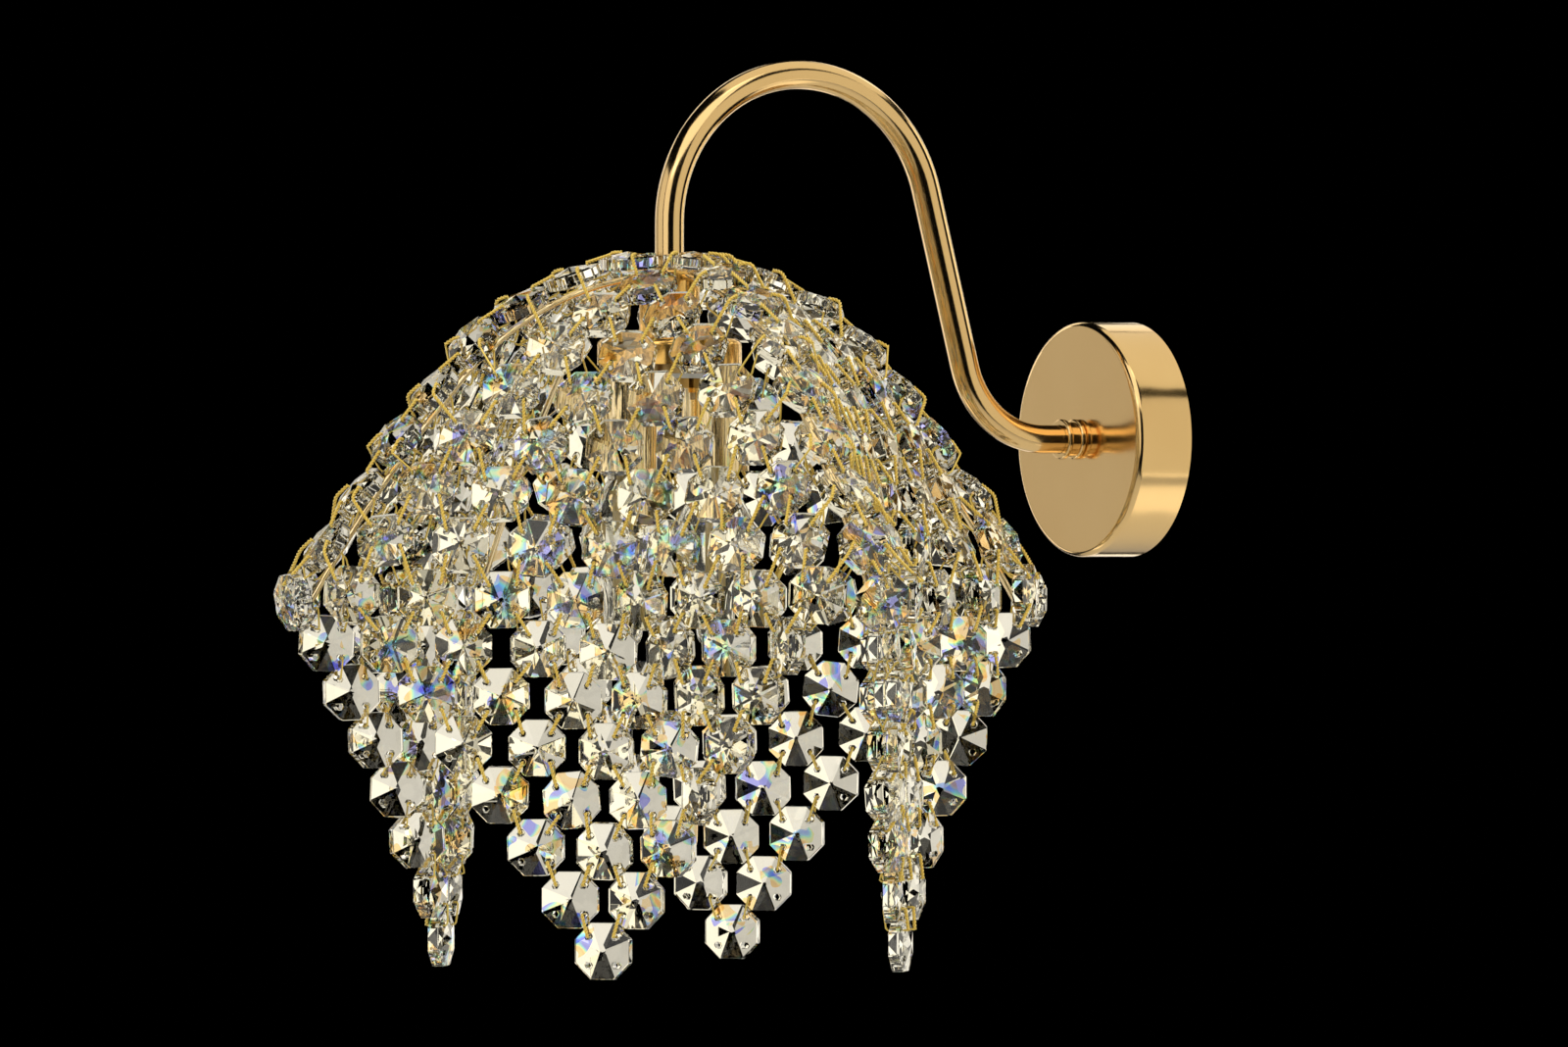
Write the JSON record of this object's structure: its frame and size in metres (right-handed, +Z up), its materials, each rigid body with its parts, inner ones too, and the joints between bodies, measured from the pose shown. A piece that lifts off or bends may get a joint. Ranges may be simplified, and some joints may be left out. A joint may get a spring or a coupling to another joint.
{
  "type": "wall sconce",
  "caption": "Gold wall sconce: round canopy, gooseneck tube arm and a star-plan dome shade of octagon crystals netted with wire links, hanging petals, candle lamps inside.",
  "frame": {"origin": "centre of the canopy's back, on the wall", "axes": "+Z up, +Y into the wall, the sconce reaches out along -Y, +X to the right seen from the room"},
  "size_m": [0.366, 0.4079, 0.3786],
  "materials": {
    "polished_gold": "polished gold plate",
    "gold_wire": "polished gold wire",
    "plain_brass": "turned brass",
    "crystal": "clear cut crystal",
    "lamp_glass": "clear lamp glass",
    "lamp_cap": "satin",
    "filament": "coated filament rods on a stem",
    "insulator": "moulded, satin",
    "lead_sheath": "smooth sheath",
    "zinc_steel": "zinc plated"
  },
  "bodies": {
    "fixture": {"arm": "polished_gold", "arm_lead": "lead_sheath", "canopy": "polished_gold", "collar": "polished_gold", "dish": "polished_gold", "dome_crystals_1": "crystal", "dome_crystals_2": "crystal", "dome_crystals_3": "crystal", "dome_crystals_4": "crystal", "dome_crystals_5": "crystal", "dome_crystals_6": "crystal", "dome_crystals_7": "crystal", "dome_crystals_8": "crystal", "dome_crystals_9": "crystal", "dome_links_1": "gold_wire", "dome_links_2": "gold_wire", "dome_links_3": "gold_wire", "dome_links_4": "gold_wire", "dome_links_5": "gold_wire", "dome_links_6": "gold_wire", "dome_links_7": "gold_wire", "dome_links_8": "gold_wire", "earth_screw": "plain_brass", "holder_bar": "zinc_steel", "holder_nipples": "plain_brass", "holder_nuts": "plain_brass", "hub": "polished_gold", "hub_nut": "plain_brass", "insulators": "insulator", "nipple": "plain_brass", "nipple_nuts": "plain_brass", "petal_crystals_room_left": "crystal", "petal_crystals_room_right": "crystal", "petal_crystals_wall_left": "crystal", "petal_crystals_wall_right": "crystal", "petal_links_room_left": "gold_wire", "petal_links_room_right": "gold_wire", "petal_links_wall_left": "gold_wire", "petal_links_wall_right": "gold_wire", "rib_left": "polished_gold", "rib_right": "polished_gold", "rib_room": "polished_gold", "rib_wall": "polished_gold", "screw_shells": "plain_brass", "sleeves": "polished_gold", "spacer": "plain_brass", "terminal_block": "insulator", "wall_bracket": "zinc_steel"},
    "lamp_room": {"lamp_cap_room": "lamp_cap", "lamp_filament_room": "filament", "lamp_glass_room": "lamp_glass"},
    "lamp_wall": {"lamp_cap_wall": "lamp_cap", "lamp_filament_wall": "filament", "lamp_glass_wall": "lamp_glass"},
    "tip_room_left": {"tip_crystal_room_left": "crystal"},
    "tip_room_right": {"tip_crystal_room_right": "crystal"},
    "tip_wall_left": {"tip_crystal_wall_left": "crystal"},
    "tip_wall_right": {"tip_crystal_wall_right": "crystal"}
  },
  "joints": [
    {"name": "tip_wall_right_swing", "type": "hinge", "parent": "fixture", "child": "tip_wall_right", "pos_m": [0.07006, -0.15486, -0.20343], "axis": [-0.7071, 0.7071, 0], "range_deg": [-8, 8]},
    {"name": "tip_wall_left_swing", "type": "hinge", "parent": "fixture", "child": "tip_wall_left", "pos_m": [-0.07006, -0.15486, -0.20343], "axis": [-0.7071, -0.7071, 0], "range_deg": [-8, 8]},
    {"name": "tip_room_left_swing", "type": "hinge", "parent": "fixture", "child": "tip_room_left", "pos_m": [-0.07006, -0.29497, -0.20343], "axis": [0.7071, -0.7071, 0], "range_deg": [-8, 8]},
    {"name": "tip_room_right_swing", "type": "hinge", "parent": "fixture", "child": "tip_room_right", "pos_m": [0.07006, -0.29497, -0.20343], "axis": [0.7071, 0.7071, 0], "range_deg": [-8, 8]},
    {"name": "lamp_room_turn", "type": "hinge", "parent": "fixture", "child": "lamp_room", "pos_m": [0, -0.24691, 0], "axis": [0, 0, 1], "continuous": true},
    {"name": "lamp_wall_turn", "type": "hinge", "parent": "fixture", "child": "lamp_wall", "pos_m": [0, -0.20291, 0], "axis": [0, 0, 1], "continuous": true}
  ]
}
